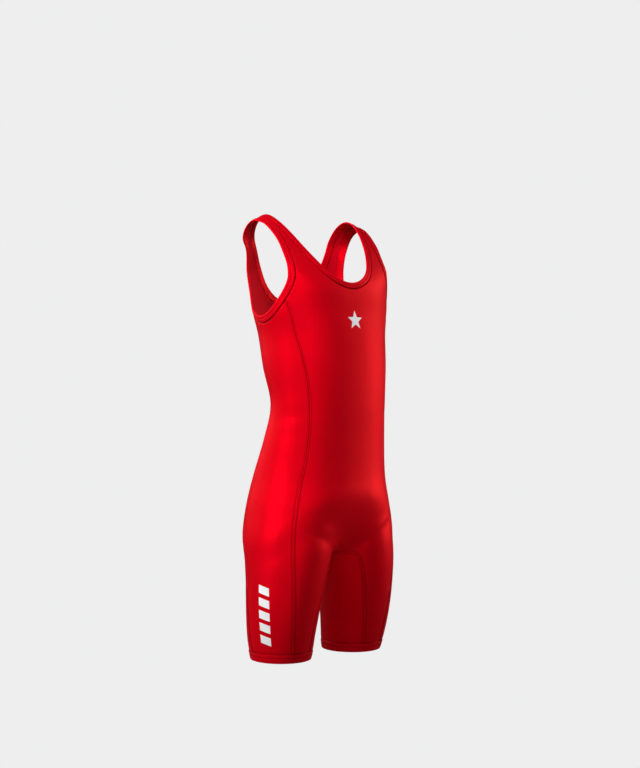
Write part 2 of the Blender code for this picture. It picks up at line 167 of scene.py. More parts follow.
STRAP_STEPS = 84
BODY_STEPS = 132
GROIN_STEPS = 64
LEG_STEPS = 92
HALF_COLUMNS = 34
DENSE = 2000
PAST_SEAM = 200  # points of the arm seam beyond the front seam that still roll the front's corner
GROIN_MIDDLE_TOP = -455 * MM
GROIN_SEAM_TOP = -425 * MM
GROIN_SEAM_END = -512 * MM
SEAM_ENDS = [GROIN_SEAM_TOP, GROIN_SEAM_END, None]
SEAM_STEPS = [BODY_STEPS, GROIN_STEPS, LEG_STEPS]
EDGE_STEPS = np.array([0.08, 0.5, 1, 1.6, 2.2, 2.7, 3.2, 4.2, 6]) * MM  # columns beside a seam
EDGE_ROWS = (0.04, 0.25, 0.5, 0.75)  # shares of the first and last row's depth where it is cut finer

JOIN_RISE = 0.4 * MM  # the seam allowance under a join lifts the face
JOIN_HALF_WIDTH = 2.7 * MM  # from the join to each line of its twin stitching
JOIN_PLAIN_ABOVE = -380 * MM  # above this the join itself is what shows, and further down its stitching
JOIN_PLAIN_FADE = 60 * MM
STRETCH_ALONG = 1.04


def table(columns, rows):
    """Rows of millimetres under named columns, as one array of metres for each name. Exponents stay plain."""
    values = np.array(rows, float).T
    return {
        name: line if name == "squareness" else line * MM
        for name, line in zip(columns.split(), values, strict=True)
    }


TORSO = table("height half_width front back squareness", [
    (-620, 112, -84, 60, 2.25),
    (-575, 121, -98, 72, 2.25),
    (-530, 129, -109, 76, 2.25),
    (-487, 126, -112, 79, 2.25),
    (-430, 115, -108, 68, 2.25),
    (-370, 107, -109, 45, 2.25),
    (-312, 102, -112, 29, 2.25),
    (-250, 108, -112, 45, 2.25),
    (-190, 112, -108, 56, 2.3),
    (-160, 118.5, -104, 60, 2.35),
    (-125, 120, -99, 62, 2.6),
    (-90, 127.5, -90, 62, 2.6),
    (-55, 128.5, -78, 60, 2.6),
    (-20, 153, -82, 58, 2.6),
    (20, 138, -70, 56, 2.6),
])
LEG = table("height across depth half_width half_depth", [
    (-760, 76, -9, 43, 44.5),
    (-723, 77, -12, 47, 48.5),
    (-706, 78, -13.5, 50, 52.5),
    (-690, 79, -15, 52, 55),
    (-650, 79, -19, 56, 60.5),
    (-600, 75.5, -22, 60, 67.5),
    (-561, 71, -22, 63.5, 73),
    (-520, 64, -20, 63, 77),
    (-470, 54, -15, 52, 68),
    (-420, 50, -12, 44, 58),
])
NECK_EDGE = table("across depth height", [
    (0, -98, -112.5),
    (16, -96.5, -110),
    (30, -92.5, -103.5),
    (44, -85, -92),
    (56, -73, -75),
    (66, -58, -57),
    (74, -41, -38),
    (80, -27, -22),
    (85, -10, -8),
    (86.5, 12, -1),
    (85, 30, -7),
    (81, 45, -28),
    (74, 54, -56),
    (62, 60, -86),
    (45, 63, -115),
    (23, 65, -132),
    (0, 65, -137),
])
ARM_EDGE = table("across depth height", [
    (118, 4, -13),
    (113.5, -9, -16),
    (110.5, -26, -30),
    (109, -43, -47),
    (108.5, -56, -67),
    (108.5, -66, -89),
    (109.5, -68, -108),
    (112, -60, -127),
    (116.5, -49, -144),
    (119, -34, -159),
    (119.5, -14, -167),
    (118.5, 8, -163),
    (114.5, 25, -147),
    (109, 35, -123),
    (106.5, 39, -94),
    (107.5, 38, -65),
    (111, 32, -39),
    (115.5, 20, -21),
])
FRONT_SEAM = table("across depth height", [
    (103.5, -68.5, -165),
    (96.3, -73.5, -200),
    (89.5, -82, -235),
    (83.7, -87.4, -275),
    (82, -90, -335),
    (88, -89, -390),
    (100, -84, -450),
    (107, -82, -500),
    (108.5, -81, -550),
    (107, -82, -600),
    (103, -78, -650),
    (96, -67, -706),
])
GUSSET_FRONT = table("across depth height", [
    (0, -63.5, -552.5),
    (11, -65, -553),
    (20, -70.5, -553),
    (27, -76.5, -554.5),
    (32, -80, -559.5),
    (36, -81, -569),
    (40.5, -81, -585),
    (47, -78, -618),
    (54.5, -71, -662),
    (60, -61, -706),
])

# Creases of the worn cloth, each a soft bent trough with a low ridge beside it. Side is 1 for the wearer's
# left, -1 for the right and 0 for both. Lean moves the ridge to one side of the trough or the other.
CREASES = [
    # side, from x y z, by way of x y z, to x y z, depth, width, lean
    (1, (32, -86, -537), (58, -96, -523), (100, -88, -502), 2.1, 8.0, 1),
    (1, (56, -95, -534), (68, -96, -529), (92, -92, -524), 0.9, 4.5, 1),
    (1, (46, -84, -566), (58, -88, -560), (84, -86, -556), 0.5, 7.0, 1),
    (-1, (34, -88, -538), (60, -96, -526), (102, -92, -504), 1.9, 11.0, 1),
    (-1, (40, -86, -566), (54, -88, -563), (74, -86, -566), 0.5, 6.0, 1),
    (1, (78, -92, -322), (91, -66, -329), (98, -38, -334), 1.0, 11.0, 1),
    (-1, (80, -91, -318), (92, -62, -328), (98, -30, -330), 1.1, 12.0, 1),
    (-1, (84, -84, -352), (97, -58, -358), (103, -36, -356), 0.6, 9.0, 1),
    (0, (112, -58, -142), (104, -66, -158), (92, -78, -172), 0.6, 6.0, 1),
    (1, (104, 40, -150), (96, 46, -172), (78, 54, -190), 0.8, 8.0, 1),
    (-1, (106, 38, -146), (92, 48, -166), (66, 56, -178), 0.7, 7.0, -1),
    (0, (-52, 28, -314), (-6, 30, -323), (44, 28, -318), 0.9, 10.0, 1),
    (1, (-20, 34, -342), (26, 34, -346), (74, 26, -338), 1.0, 7.0, -1),
    (-1, (-6, 36, -294), (34, 34, -298), (70, 28, -292), 0.8, 7.5, 1),
    (-1, (28, 40, -362), (58, 36, -366), (86, 20, -358), 0.6, 6.0, 1),
    (1, (42, 68, -556), (68, 74, -545), (112, 62, -520), 1.2, 12.0, -1),
    (-1, (50, 70, -552), (76, 72, -540), (108, 64, -528), 1.0, 11.0, -1),
    (1, (66, 60, -582), (82, 54, -574), (104, 42, -566), 0.7, 7.0, -1),
    (-1, (58, 60, -596), (74, 56, -590), (94, 48, -586), 0.8, 8.0, -1),
    (1, (122, 4, -600), (126, -10, -606), (124, -28, -604), 0.6, 8.0, 1),
    (-1, (118, 16, -626), (126, 2, -632), (128, -14, -630), 0.5, 7.0, 1),
]


def through(knots, values, at):
    """A smooth curve through the rows of a table, read at given places."""
    slopes = np.gradient(values, knots, axis=0)
    at = np.clip(at, knots[0], knots[-1])
    low = np.clip(np.searchsorted(knots, at) - 1, 0, len(knots) - 2)
    span = knots[low + 1] - knots[low]
    t = (at - knots[low]) / span
    if values.ndim > 1:
        t, span = t[:, None], span[:, None]
    return (
        (2 * t**3 - 3 * t**2 + 1) * values[low]
        + (t**3 - 2 * t**2 + t) * span * slopes[low]
        + (3 * t**2 - 2 * t**3) * values[low + 1]
        + (t**3 - t**2) * span * slopes[low + 1]
    )


def soft_least(a, b, softness):
    """The smaller of two distances, rounded where they are nearly equal."""
    share = np.clip(0.5 + 0.5 * (b - a) / softness, 0, 1)
    return b * (1 - share) + a * share - softness * share * (1 - share)


def soft_most(a, b, softness):
    return -soft_least(-a, -b, softness)


def torso_form(x, y, z):
    knots = TORSO["height"]
    wide, front, back, power = (
        through(knots, TORSO[k], z) for k in ("half_width", "front", "back", "squareness")
    )
    deep = (back - front) / 2
    round_about = np.abs(x / wide) ** power + np.abs((y - (front + back) / 2) / deep) ** power
    return (round_about ** (1 / power) - 1) * np.sqrt(wide * deep)


def leg_form(x, y, z):
    knots = LEG["height"]
    across, depth, wide, deep = (
        through(knots, LEG[k], z) for k in ("across", "depth", "half_width", "half_depth")
    )
    return (np.hypot((x - across) / wide, (y - depth) / deep) - 1) * np.sqrt(wide * deep)


def ridge_height(x, y):
    """The height of the shoulders over a place: a ridge that bends down forwards, backwards and outwards."""
    behind = y - (RIDGE_DEPTH - x**2 / (2 * RIDGE_SWEEP_RADIUS))
    front = RIDGE_FRONT_RADIUS - RIDGE_FRONT_EASING * behind - RIDGE_FRONT_TIGHTENING * np.abs(x)
    radius = np.where(behind < 0, front, RIDGE_BACK_RADIUS)
    return RIDGE_HEIGHT - x**2 / (2 * RIDGE_FALL_RADIUS) - behind**2 / (2 * radius)


def form(points):
    """How far points are outside the form, about in metres, and less than 0 inside."""
    x, y, z = points.T
    saddle = SADDLE_HEIGHT + (y - SADDLE_DEPTH) ** 2 / (2 * SADDLE_RADIUS)
    torso = soft_most(torso_form(x, y, z), z - ridge_height(x, y), SHOULDER_SOFTNESS)
    torso = soft_most(torso, saddle - z, SEAT_SOFTNESS)
    legs = soft_least(leg_form(x, y, z), leg_form(-x, y, z), LEG_SOFTNESS)
    legs = soft_most(legs, z - LEG_TOP, LEG_SOFTNESS)
    return soft_least(torso, legs, LEG_SOFTNESS)


def outward(points):
    """The form's slope at each point, as a vector."""
    step = 0.2 * MM
    return np.stack(
        [(form(points + step * e) - form(points - step * e)) / (2 * step) for e in np.eye(3)], axis=1
    )


def normals(points):
    slope = outward(points)
    return slope / np.linalg.norm(slope, axis=1, keepdims=True)


def on_form(points, hold=None):
    """Points moved onto the form. One axis, 0 to 2, can be held, to stay in a level or upright plane."""
    points = np.array(points, float)
    for _ in range(10):
        slope = outward(points)
        if hold is not None:
            slope[:, hold] = 0
        move = slope * (form(points) / np.maximum((slope**2).sum(axis=1), 1e-6))[:, None]
        reach = np.linalg.norm(move, axis=1, keepdims=True)
        points -= move * np.minimum(1, 12 * MM / np.maximum(reach, 1e-9))
    return points


def points_of(rows):
    return np.stack([rows["across"], rows["depth"], rows["height"]], axis=1)


def lengths_along(points):
    return np.concatenate([[0], np.cumsum(np.linalg.norm(np.diff(points, axis=0), axis=1))])


def fine(points):
    """A fine curve on the form through a few points."""
    along = lengths_along(points)
    return on_form(through(along, points, np.linspace(0, along[-1], DENSE)))


def fine_ring(points):
    """The same for a closed curve. The first point isn't repeated at the end."""
    count = len(points)
    wrapped = np.concatenate([points[-3:], points, points[:4]])
    along = lengths_along(wrapped)
    at = np.linspace(along[3], along[3 + count], DENSE + 1)[:-1]
    return on_form(through(along, wrapped, at))


def ahead_of(curve, closed):
    """Which way a curve runs at each of its points."""
    if closed:
        ahead = np.roll(curve, -1, axis=0) - np.roll(curve, 1, axis=0)
    else:
        ahead = np.gradient(curve, axis=0)
    return ahead / np.linalg.norm(ahead, axis=1, keepdims=True)


def beside(curve, width, closed=True):
    """A curve on the form, moved along it to the right of its own direction."""
    ahead = ahead_of(curve, closed)
    moved = curve
    for _ in range(4):
        moved = on_form(moved + np.cross(ahead, normals(moved)) * width / 4)
    return moved


def shared_out(points, steps):
    """The curve again, as fewer points, closer together where the cloth bends."""
    facing = normals(points)
    turns = np.linalg.norm(np.diff(facing, axis=0), axis=1)
    along = lengths_along(points) + np.concatenate([[0], np.cumsum(turns)]) * BEND_SHARE
    at = np.linspace(0, along[-1], steps + 1)
    return np.stack([np.interp(at, along, points[:, k]) for k in range(3)], axis=1)


def nearest(curve, test):
    return int(np.argmin(np.abs(test(curve))))


def shared_stretches(points, ends, steps):
    """The same for a curve in stretches. Each ends at a height, the last at the curve's end."""
    start, found = 0, [points[:1]]
    for end, count in zip(ends, steps, strict=True):
        stop = len(points) - 1 if end is None else nearest(points, lambda c, end=end: c[:, 2] - end)
        found.append(shared_out(points[start : stop + 1], count)[1:])
        start = stop
    return np.concatenate(found)


def pin(points, index, axis, place):
    """Puts one point of a curve in a plane, on the form."""
    points[index, axis] = place
    points[index] = on_form(points[index][None], axis)[0]


def seam_from(top, rows):
    """A body seam from a point on the arm band down to the leg band."""
    curve = fine(np.concatenate([top[None], points_of(rows)]))
    curve[0] = top
    pin(curve, -1, 2, LEG_SEAM_HEIGHT)
    return curve


def gusset_seam(rows):
    curve = fine(points_of(rows))
    pin(curve, 0, 0, 0)
    pin(curve, -1, 2, LEG_SEAM_HEIGHT)
    return curve


def centre_line(top, bottom):
    """The middle of a panel down the plane of symmetry."""
    share = np.linspace(0, 1, DENSE)[:, None]
    return on_form(top * (1 - share) + bottom * share, 0)


def across_from(inner, outer, columns):
    """Rows of points from one edge to the other, closer together beside both edges."""
    reach = np.linalg.norm(outer - inner, axis=1)[:, None]
    edge = EDGE_STEPS * np.minimum(1, 0.42 * reach / EDGE_STEPS[-1])
    middle = edge[:, -1:] + (reach - 2 * edge[:, -1:]) * np.linspace(0, 1, columns + 1)[1:-1]
    share = (np.concatenate([edge, middle, reach - edge[:, ::-1]], axis=1) / reach)[..., None]
    return inner[:, None] * (1 - share) + outer[:, None] * share


def laid_on_form(grid, ends=(1, 2)):
    """A grid of points moved onto the form, its first and last rows kept in a plane, cut finer at both."""
    flat = on_form(grid[1:-1].reshape(-1, 3)).reshape(grid[1:-1].shape)
    first, last = (on_form(grid[k], hold) for k, hold in zip((0, -1), ends, strict=True))
    start = [first + (flat[0] - first) * share for share in EDGE_ROWS]
    stop = [last + (flat[-1] - last) * share for share in EDGE_ROWS[::-1]]
    return np.concatenate([start, flat, stop])


def quads_of(rows, columns, closed=False):
    """Index quads of a grid that runs down its rows and out along its columns."""
    i, j = np.meshgrid(np.arange(rows if closed else rows - 1), np.arange(columns - 1), indexing="ij")
    i, j, below = i.ravel(), j.ravel(), (i.ravel() + 1) % rows
    here, under = i * columns + j, below * columns + j
    return np.stack([here, under, under + 1, here + 1], axis=1)


def flipped(points):
    return points * np.array([-1, 1, 1])


BOTH_SIDES = (("left", lambda p: p), ("right", flipped))


def cloth_map(grid, start):
    """Where each point of a grid was on the flat cloth: metres across from the middle, and metres along."""
    steps = np.linalg.norm(np.diff(grid, axis=1), axis=2)
    across = np.concatenate([np.zeros((len(grid), 1)), np.cumsum(steps, axis=1)], axis=1) + start[:, None]
    steps = np.linalg.norm(np.diff(grid, axis=0), axis=2).mean(axis=1)
    along = np.broadcast_to(np.concatenate([[0], np.cumsum(steps)])[:, None], across.shape)
    return np.stack([across, -along], axis=2).reshape(-1, 2)


def mirrored_pair(points, quads, places, welded):
    """A half and its mirror image, joined where points listed in welded lie on the middle plane."""
    points = points.copy()
    points[welded, 0] = 0
    twin = np.full(len(points), -1)
    twin[welded] = welded
    free = np.flatnonzero(twin < 0)
    twin[free] = len(points) + np.arange(len(free))
    both = np.concatenate([points, flipped(points[free])])
    quads = np.concatenate([quads, twin[quads][:, ::-1]])
    return both, quads, np.concatenate([places, places[free] * (-1, 1)])


def border_of(quads):
    """The edges that only one face uses, each in the direction in which its face runs."""
    ends = np.concatenate([quads[:, [k, (k + 1) % 4]] for k in range(4)])
    size = int(quads.max()) + 1
    key, back = ends[:, 0] * size + ends[:, 1], ends[:, 1] * size + ends[:, 0]
    return ends[~np.isin(key, back)]


def facing_out(points, quads, facing):
    """The same quads, turned over if they face into the form."""
    first = points[quads[0]]
    inward = np.cross(first[1] - first[0], first[3] - first[0]) @ facing[quads[0][0]] < 0
    return quads[:, ::-1] if inward else quads


def closed_shell(upper, lower, quads):
    """Two layers over the same quads, joined all round by a rim."""
    count = len(upper)
    edge = border_of(quads)
    rim = np.stack([edge[:, 1], edge[:, 0], edge[:, 0] + count, edge[:, 1] + count], axis=1)
    return np.concatenate([upper, lower]), np.concatenate([quads, rim, quads[:, ::-1] + count])


def away_from(curves, points):
    """How far each point is from the nearest of some curves."""
    curve = np.concatenate(curves)
    tree = KDTree(len(curve))
    for i, p in enumerate(curve):
        tree.insert(p, i)
    tree.balance()
    return np.array([tree.find(p)[2] for p in points])


def line_at(away, place, radius):
    """How near each point is to a line, from 0 to 1."""
    return np.exp(-(((away - place) / radius) ** 2))


def beside_seams(points, joins, band_seams):
    """The height of the face beside its seams, and the shade painted into its colour there. A flat join is
    lifted by its allowance, sunk at the join and along its stitching. Where a band is sewn on, the face only
    rolls under.
    The painted shade is darkest in those grooves: at the join, along its stitching and at a band's seam."""
    right_half = np.concatenate([np.abs(points[:, :1]), points[:, 1:]], axis=1)
    away, from_band = away_from(joins, right_half), away_from(band_seams, right_half)
    low = np.clip((JOIN_PLAIN_ABOVE - points[:, 2]) / JOIN_PLAIN_FADE, 0, 1)
    lift = JOIN_RISE * np.clip((JOIN_HALF_WIDTH + 1.3 * MM - away) / (1.3 * MM), 0, 1) ** 1.5
    stitched = (0.45 + 0.55 * low) * line_at(away, JOIN_HALF_WIDTH, 0.75 * MM)
    joined = (1 - 0.5 * low) * line_at(away, 0, 0.65 * MM)
    rolled = line_at(from_band, 0, 1.3 * MM)
    rise = lift - (0.7 * stitched + 0.85 * joined + 1.15 * rolled) * MM
    return rise, np.maximum.reduce([0.7 * stitched, 0.85 * joined, 0.9 * rolled])


def crease_depth(points):
    """How deep the creases press the cloth in at each point, less the ridges that they raise."""
    total = np.zeros(len(points))
    for side, start, middle, end, depth, width, lean in CREASES:
        t = np.linspace(0, 1, 40)[:, None]
        a, b, c = (np.array(p) * MM for p in (start, middle, end))
        line = (1 - t) ** 2 * a + 2 * t * (1 - t) * (2 * b - (a + c) / 2) + t**2 * c
        for way in (1, -1):
            if side == -way:
                continue
            path = line * [way, 1, 1]
            near = np.flatnonzero(
                (points > path.min(axis=0) - 4 * width * MM).all(axis=1)
                & (points < path.max(axis=0) + 4 * width * MM).all(axis=1)
            )
            if not len(near):
                continue
            apart = points[near][:, None] - path[None]
            which = np.argmin((apart**2).sum(axis=2), axis=1)
            gap = apart[np.arange(len(near)), which]
            away = np.linalg.norm(gap, axis=1) / (width * MM)
            swell = np.sin(np.pi * np.clip(0.05 + 0.9 * t[which, 0], 0, 1)) ** 1.2
            signed = np.sign(gap[:, 2]) * away * lean
            total[near] += depth * MM * swell * (
                np.exp(-(away**1.6)) - 0.42 * np.exp(-(((signed - 1.5) / 0.9) ** 2))
            )
    return total


def area_of(points, quads):
    a, b, c, d = (points[quads[:, k]] for k in range(4))
    return np.linalg.norm(np.cross(c - a, d - b), axis=1).sum() / 2


def mesh_piece(name, vertices, faces, places=None, materials=(), which=None, shade=None):
    """An object from arrays, smoothly shaded, with its place on the flat cloth as a map in metres."""
    mesh = bpy.data.meshes.new(name)
    mesh.from_pydata(np.asarray(vertices).tolist(), [], [list(map(int, f)) for f in faces])
    mesh.update()
    if places is not None:
        corners = np.zeros(len(mesh.loops), int)
        mesh.loops.foreach_get("vertex_index", corners)
        mesh.uv_layers.new(name="cloth").uv.foreach_set("vector", places[corners].astype(np.float32).ravel())
    if shade is not None:
        # The attribute holds shade painted into the cloth's colour in the grooves along seams and bands.
        mesh.attributes.new("pressed_and_painted_shade", "FLOAT", "POINT").data.foreach_set("value", shade.astype(np.float32))
    mesh.shade_smooth()
    mesh.set_sharp_from_angle(angle=math.radians(60))
    for material in materials:
        mesh.materials.append(material)
    if which is not None:
        mesh.polygons.foreach_set("material_index", which)
    piece = bpy.data.objects.new(name, mesh)
    scene.collection.objects.link(piece)
    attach(piece, "root")
    return piece


def cloth_panel(name, cad_node, points, quads, places, joins, band_seams, finishes):
    """One layer of cloth as a closed thin shell: its face, its back and the cut edge all round."""
    # shade is painted into the colour along the seams. The points below are pressed in by the creases.
    rise, shade = beside_seams(points, joins, band_seams)
    facing = normals(points)
    quads = facing_out(points, quads, facing)
    pressed_and_painted_shade = points - facing * crease_depth(points)[:, None]
    vertices, faces = closed_shell(pressed_and_painted_shade + facing * (CLOTH + rise)[:, None], pressed_and_painted_shade, quads)
    which = np.repeat([0, 1], [len(faces) - len(quads), len(quads)])
    shade = np.concatenate([shade, shade])
    piece = mesh_piece(name, vertices, faces, np.concatenate([places, places]), finishes, which, shade)
    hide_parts(cad_node)
    return piece


def group(name, inputs, outputs):
    """An empty node group with named sockets. Returns its tree, what comes in, and what goes out."""
    tree = bpy.data.node_groups.new(name, "ShaderNodeTree")
    for socket, (kind, value) in inputs.items():
        made = tree.interface.new_socket(socket, in_out="INPUT", socket_type="NodeSocket" + kind)
        if value is not None:
            made.default_value = value
    for socket, kind in outputs.items():
        tree.interface.new_socket(socket, in_out="OUTPUT", socket_type="NodeSocket" + kind)
    return tree, tree.nodes.new("NodeGroupInput").outputs, tree.nodes.new("NodeGroupOutput").inputs


def worked_out(tree, operation, *values):
    return node(tree, "Math", dict(enumerate(values)), operation=operation).outputs[0]


# Loops of a fine warp knit: upright wales of slanted stitches, from the place on the flat cloth. The second
# output marks the hollows between the wales, for shade painted into the colour.
knit, given, gives = group(
    "knit",
    {"Place": ("Vector", None), "Wale": ("Float", 0.7 * MM), "Course": ("Float", 0.55 * MM)},
    {"Height": "Float", "Hollow Shade": "Float"},
)
split = node(knit, "SeparateXYZ", {0: given["Place"]}).outputs
wale = worked_out(knit, "FRACT", worked_out(knit, "DIVIDE", split["X"], given["Wale"]))
slant = worked_out(knit, "ABSOLUTE", worked_out(knit, "SUBTRACT", wale, 0.5))
course = worked_out(knit, "DIVIDE", split["Y"], given["Course"])
turn = worked_out(knit, "MULTIPLY", worked_out(knit, "ADD", course, slant), 2 * math.pi)
loop = worked_out(knit, "MULTIPLY_ADD", worked_out(knit, "SINE", turn), 0.22, 0.78)
hollow = worked_out(knit, "POWER", worked_out(knit, "MULTIPLY", slant, 2), 2.4)
height = worked_out(knit, "MULTIPLY", worked_out(knit, "SUBTRACT", 1, hollow), loop)
knit.links.new(height, gives["Height"])
knit.links.new(hollow, gives["Hollow Shade"])

# Dye that took a little unevenly, in soft clouds and in faint upright bars along the wales, and shade painted
# into the colour in the hollows of the knit and in the grooves along the seams.
dye_and_painted_shade, given, gives = group(
    "dye_and_painted_shade",
    {
        "Colour": ("Color", (0.5, 0, 0, 1)),
        "Place": ("Vector", None),
        "Hollow Shade": ("Float", 0.0),
        "Painted Seam Shade": ("Float", 0.0),
        "Depth": ("Float", 0.12),
    },
    {"Colour": "Color"},
)
clouds = node(dye_and_painted_shade, "TexNoise", {"Vector": given["Place"], "Scale": 14, "Detail": 3}).outputs["Fac"]
stretched = node(dye_and_painted_shade, "Mapping", {"Vector": given["Place"], "Scale": (420, 5, 1)}).outputs[0]
bars = node(dye_and_painted_shade, "TexNoise", {"Vector": stretched, "Scale": 1, "Detail": 2}).outputs["Fac"]
uneven = worked_out(dye_and_painted_shade, "ADD", clouds, bars)
shade = worked_out(dye_and_painted_shade, "MULTIPLY_ADD", worked_out(dye_and_painted_shade, "SUBTRACT", uneven, 1), given["Depth"], 1)
# Painted shade in the hollows between the knit's wales, up to 16 % darker.
shade = worked_out(dye_and_painted_shade, "MULTIPLY", shade, worked_out(dye_and_painted_shade, "MULTIPLY_ADD", given["Hollow Shade"], -0.16, 1))
# Painted shade in the grooves along seams and bands, up to 62 % darker.
shade = worked_out(dye_and_painted_shade, "MULTIPLY", shade, worked_out(dye_and_painted_shade, "MULTIPLY_ADD", given["Painted Seam Shade"], -0.62, 1))
toned = node(dye_and_painted_shade, "VectorMath", {0: given["Colour"], "Scale": shade}, operation="SCALE").outputs[0]
dye_and_painted_shade.links.new(toned, gives["Colour"])


def new_material(name, **inputs):
    """A material with its tree and its Principled shader, whose inputs are named with _ for a space."""
    material = bpy.data.materials.new(name)
    material.use_nodes = True
    shader = material.node_tree.nodes["Principled BSDF"]
    for socket, value in inputs.items():
        shader.inputs[socket.replace("_", " ")].default_value = value
    return material, material.node_tree, shader


def knit_cloth(name, colour, roughness, lustre, gloss, sheen, relief):
    """A knit finish. Lustre is the share of coloured shine that satin yarn has, gloss the specular level, and
    relief how high its loops stand."""
    material, tree, shader = new_material(
        name,
        Roughness=roughness,
        Metallic=lustre,
        IOR=1.25,
        Specular_IOR_Level=gloss,
        Specular_Tint=(1, 0.02, 0.05, 1),
        Sheen_Weight=sheen,
        Sheen_Roughness=0.45,
        Sheen_Tint=(1, 0.05, 0.08, 1),
    )
    place = node(tree, "UVMap", uv_map="cloth").outputs[0]
    loops = node(tree, "Group", node_tree=knit)
    tree.links.new(place, loops.inputs["Place"])
    dye_and_shade = node(tree, "Group", node_tree=dye_and_painted_shade)
    dye_and_shade.inputs["Colour"].default_value = (*colour, 1)
    tree.links.new(place, dye_and_shade.inputs["Place"])
    tree.links.new(loops.outputs["Hollow Shade"], dye_and_shade.inputs["Hollow Shade"])
    # Shade painted into the colour in the grooves along the seams, read from the mesh attribute.
    pressed_and_painted_shade = node(tree, "Attribute", attribute_name="pressed_and_painted_shade")
    tree.links.new(pressed_and_painted_shade.outputs["Fac"], dye_and_shade.inputs["Painted Seam Shade"])
    tree.links.new(dye_and_shade.outputs[0], shader.inputs["Base Color"])
    bump = node(tree, "Bump", {"Height": loops.outputs["Height"], "Strength": 1, "Distance": relief})
    tree.links.new(bump.outputs[0], shader.inputs["Normal"])
    material.diffuse_color = (*colour, 1)
    return material


satin = knit_cloth("satin knit face", (0.74, 0.0004, 0.0085), 0.45, 0.30, 0.15, 0.02, 0.045 * MM)
knit_back = knit_cloth("knit back", (0.60, 0.0015, 0.010), 0.85, 0, 0.3, 0.12, 0.07 * MM)

# The cut edges and seams that the front shares with its neighbours.
half_neck = points_of(NECK_EDGE)
neck_edge = fine_ring(np.concatenate([half_neck, flipped(half_neck[-2:0:-1])]))
neck_seam = beside(neck_edge, NECK_BAND_WIDTH)
half = DENSE // 2
neck_shoulder = nearest(neck_seam[:half], lambda c: c[:, 1] - SHOULDER_SEAM_DEPTH)
strap_inner = shared_out(neck_seam[neck_shoulder::-1], STRAP_STEPS)

arm_edge = fine_ring(points_of(ARM_EDGE))
arm_seam = beside(arm_edge, ARM_BAND_WIDTH)
arm_edge, arm_seam = (np.roll(ring, half // 2, axis=0) for ring in (arm_edge, arm_seam))
arm_shoulder = nearest(arm_seam[:half], lambda c: c[:, 1] - SHOULDER_SEAM_DEPTH)
arm_edge, arm_seam = (np.roll(ring, -arm_shoulder, axis=0) for ring in (arm_edge, arm_seam))
front_top = nearest(arm_seam[:half], lambda c: c[:, 2] - SIDE_SEAM_TOP)
back_top = half + nearest(arm_seam[half:], lambda c: c[:, 2] - BACK_SEAM_TOP)
strap_outer = shared_out(arm_seam[: front_top + 1], STRAP_STEPS)
for end in (strap_inner, strap_outer):
    pin(end, 0, 1, SHOULDER_SEAM_DEPTH)
pin(strap_inner, -1, 0, 0)

front_gusset_seam = gusset_seam(GUSSET_FRONT)
front_seam = seam_from(strap_outer[-1], FRONT_SEAM)


def shoulder_seam(inner, outer):
    share = np.linspace(0, 1, 60)[:, None]
    return on_form(inner * (1 - share) + outer * share, 1)


def half_panel(inner_strap, outer_strap, gusset, seam):
    """A front or back: strap, body and leg strip, one half as a grid. Returns it with its middle rows."""
    middle = centre_line(inner_strap[-1], gusset[0])
    middle = shared_stretches(middle, [GROIN_MIDDLE_TOP, None], [BODY_STEPS, GROIN_STEPS])
    inner = np.concatenate([inner_strap, middle[1:], shared_out(gusset, LEG_STEPS)[1:]])
    outer = shared_stretches(seam, SEAM_ENDS, SEAM_STEPS)
    outer = np.concatenate([outer_strap, outer[1:]])
    grid = across_from(inner, outer, HALF_COLUMNS)
    first = STRAP_STEPS + len(EDGE_ROWS) - 1
    on_middle = np.arange(first, first + len(middle))
    grid[STRAP_STEPS : STRAP_STEPS + len(middle), 0] = middle
    return laid_on_form(grid), on_middle


def whole_panel(name, cad_node, grid, on_middle, joins, band_seams):
    """A front or back from its half grid, mirrored and given the height of its seams."""
    rows, columns = grid.shape[:2]
    places = cloth_map(grid, grid[:, 0, 0])
    points, quads, places = mirrored_pair(
        grid.reshape(-1, 3), quads_of(rows, columns), places, on_middle * columns
    )
    piece = cloth_panel(name, cad_node, points, quads, places, joins, band_seams, (satin, knit_back))
    width = 2 * np.linalg.norm(np.diff(grid[on_middle], axis=1), axis=2).sum(axis=1).max()
    length = np.linalg.norm(np.diff(grid[:, columns // 2], axis=0), axis=1).sum()
    return piece, (width, length, area_of(points, quads))


turn = np.linspace(0, 2 * np.pi, DENSE)
circle = np.stack([np.cos(turn), np.sin(turn), 0 * turn], axis=1) * HEM_REACH
leg_level = on_form(circle + [HEM_ACROSS, HEM_DEPTH, LEG_SEAM_HEIGHT], 2)
front_grid, on_middle = half_panel(strap_inner, strap_outer, front_gusset_seam, front_seam)
front, front_cut = whole_panel(
    "front",
    "front_panel",
    front_grid,
    on_middle,
    [front_gusset_seam, front_seam, shoulder_seam(strap_inner[0], strap_outer[0])],
    [neck_seam[:half], arm_seam[: front_top + PAST_SEAM], leg_level],
)


# ---- Back panel ------------------------------------------------------------------------------------------
# The back is cut like the front from the same knit, with a deeper scoop and the back halves of the straps.
# It is joined to the front at the shoulders and along nothing else.
BACK_SEAM = table("across depth height", [
    (103, 30, -190),
    (96, 24, -240),
    (89, 17, -290),
    (87, 16, -335),
    (93, 25, -390),
    (106, 42, -450),
    (118, 49, -500),
    (126, 36, -550),
    (130, 14, -600),
    (132, 2, -650),
    (129, -1, -706),
])
GUSSET_BACK = table("across depth height", [
    (0, 42, -554),
    (12, 46, -555),
    (24, 50, -560),
    (34, 52, -570),
    (42, 51, -590),
    (49, 45, -625),
    (56, 40, -662),
    (60, 36, -706),
])
back_strap_inner = shared_out(neck_seam[neck_shoulder : half + 1], STRAP_STEPS)
back_strap_outer = shared_out(np.concatenate([arm_seam[:1], arm_seam[:back_top:-1]]), STRAP_STEPS)
back_strap_outer[-1] = arm_seam[back_top]
